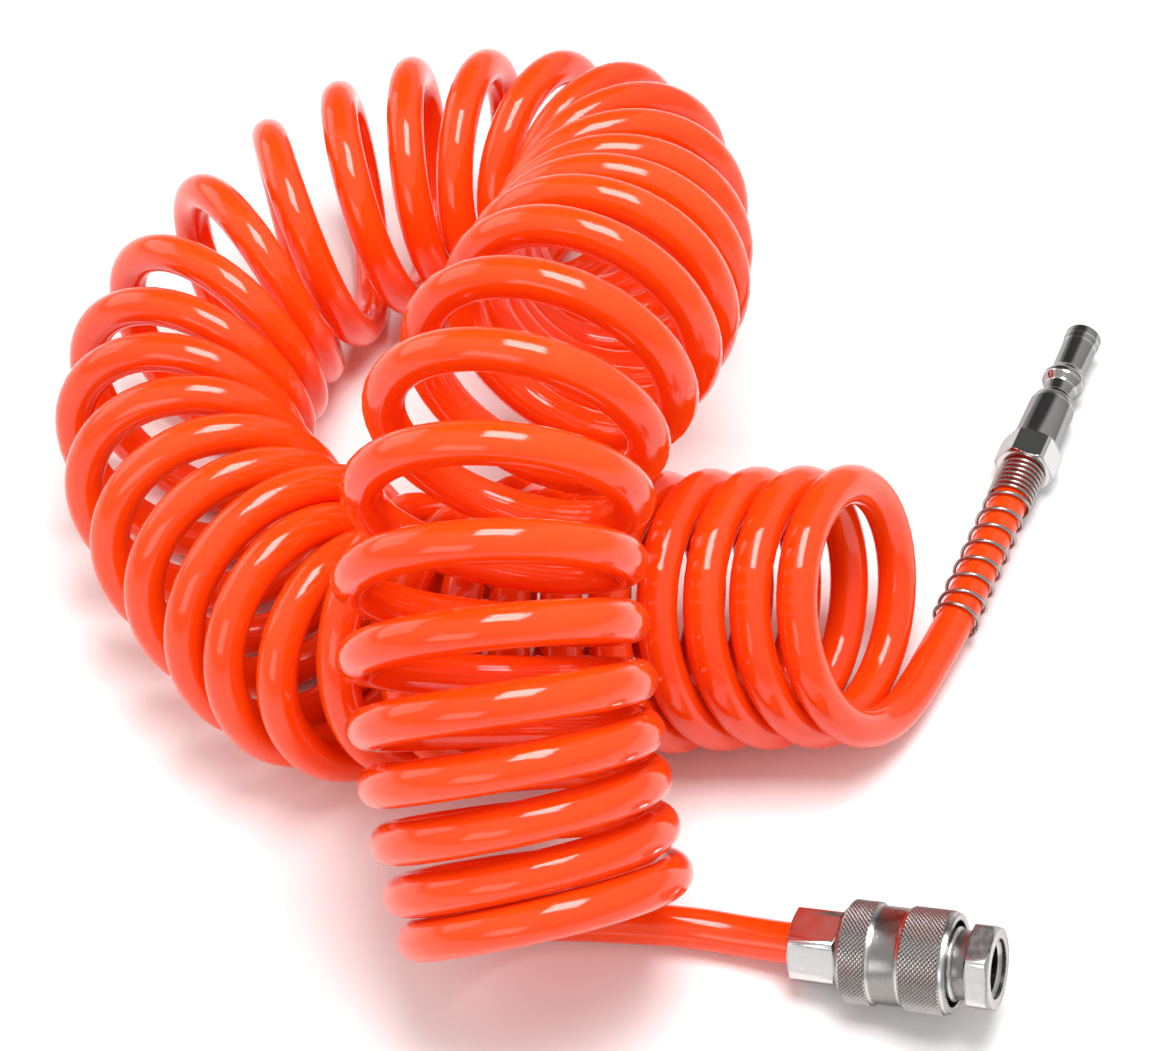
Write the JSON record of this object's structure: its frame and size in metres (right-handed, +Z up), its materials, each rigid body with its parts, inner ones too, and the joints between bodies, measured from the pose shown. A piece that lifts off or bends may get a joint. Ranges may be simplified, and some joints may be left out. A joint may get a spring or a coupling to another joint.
{
  "type": "coiled air hose",
  "caption": "Orange coiled polyurethane air hose looped over itself, with a steel quick coupler at one end and a nickel quick plug with a wire guard spring at the other",
  "frame": {"origin": "on the table plane under the middle of the whole part's box", "axes": "+Z up from the table; +Y within two degrees of the plug, pointing out of its tip; +X to the side that the coupler's mouth faces"},
  "size_m": [0.2868, 0.2848, 0.1421],
  "materials": {
    "hose_orange": "glossy orange-red polyurethane tube",
    "satin_steel": "turned and knurled steel with a satin plating",
    "bright_nickel": "bright nickel plating",
    "spring_steel": "bare drawn spring wire",
    "valve_brass": "machined brass",
    "seal_rubber": "black nitrile rubber"
  },
  "bodies": {
    "hose": {"hose_coil": "hose_orange", "hose_coupler_end": "hose_orange", "hose_plug_end": "hose_orange", "coupler_nut": "satin_steel", "coupler_body": "satin_steel", "plug_holder": "satin_steel", "sleeve_spring": "spring_steel", "valve_spring": "spring_steel", "plug_seal": "seal_rubber", "body_seal": "seal_rubber", "plug_nut": "bright_nickel", "plug_body": "bright_nickel", "guard_spring": "spring_steel"},
    "sleeve": {"coupler_sleeve": "satin_steel"},
    "valve": {"valve_poppet": "valve_brass", "valve_seal": "seal_rubber"},
    "ball_1": {"lock_ball_1": "bright_nickel"},
    "ball_2": {"lock_ball_2": "bright_nickel"},
    "ball_3": {"lock_ball_3": "bright_nickel"},
    "ball_4": {"lock_ball_4": "bright_nickel"},
    "ball_5": {"lock_ball_5": "bright_nickel"},
    "ball_6": {"lock_ball_6": "bright_nickel"}
  },
  "joints": [
    {"name": "sleeve_slide", "type": "slide", "parent": "hose", "child": "sleeve", "axis": [0.9636, 0.0674, 0.2588], "range_m": [0, 0.0035], "deforming": ["sleeve_spring"]},
    {"name": "valve_slide", "type": "slide", "parent": "hose", "child": "valve", "axis": [-0.9636, -0.0674, -0.2588], "range_m": [0, 0.003], "stiffness_N_per_m": 800, "springref_m": -0.003, "deforming": ["valve_spring"]},
    {"name": "ball_1_slide", "type": "slide", "parent": "hose", "child": "ball_1", "axis": [-0.1895, 0.8549, 0.483], "range_m": [0, 0.0011]},
    {"name": "ball_2_slide", "type": "slide", "parent": "hose", "child": "ball_2", "axis": [-0.2582, -0.018, 0.9659], "range_m": [0, 0.0011]},
    {"name": "ball_3_slide", "type": "slide", "parent": "hose", "child": "ball_3", "axis": [-0.0687, -0.8729, 0.483], "range_m": [0, 0.0011]},
    {"name": "ball_4_slide", "type": "slide", "parent": "hose", "child": "ball_4", "axis": [0.1895, -0.8549, -0.483], "range_m": [0, 0.0011]},
    {"name": "ball_5_slide", "type": "slide", "parent": "hose", "child": "ball_5", "axis": [0.2582, 0.018, -0.9659], "range_m": [0, 0.0011]},
    {"name": "ball_6_slide", "type": "slide", "parent": "hose", "child": "ball_6", "axis": [0.0687, 0.8729, -0.483], "range_m": [0, 0.0011]}
  ],
  "couplings": [
    {"joint": "ball_1_slide", "follows": "sleeve_slide", "ratio": 0.314},
    {"joint": "ball_2_slide", "follows": "sleeve_slide", "ratio": 0.314},
    {"joint": "ball_3_slide", "follows": "sleeve_slide", "ratio": 0.314},
    {"joint": "ball_4_slide", "follows": "sleeve_slide", "ratio": 0.314},
    {"joint": "ball_5_slide", "follows": "sleeve_slide", "ratio": 0.314},
    {"joint": "ball_6_slide", "follows": "sleeve_slide", "ratio": 0.314}
  ]
}
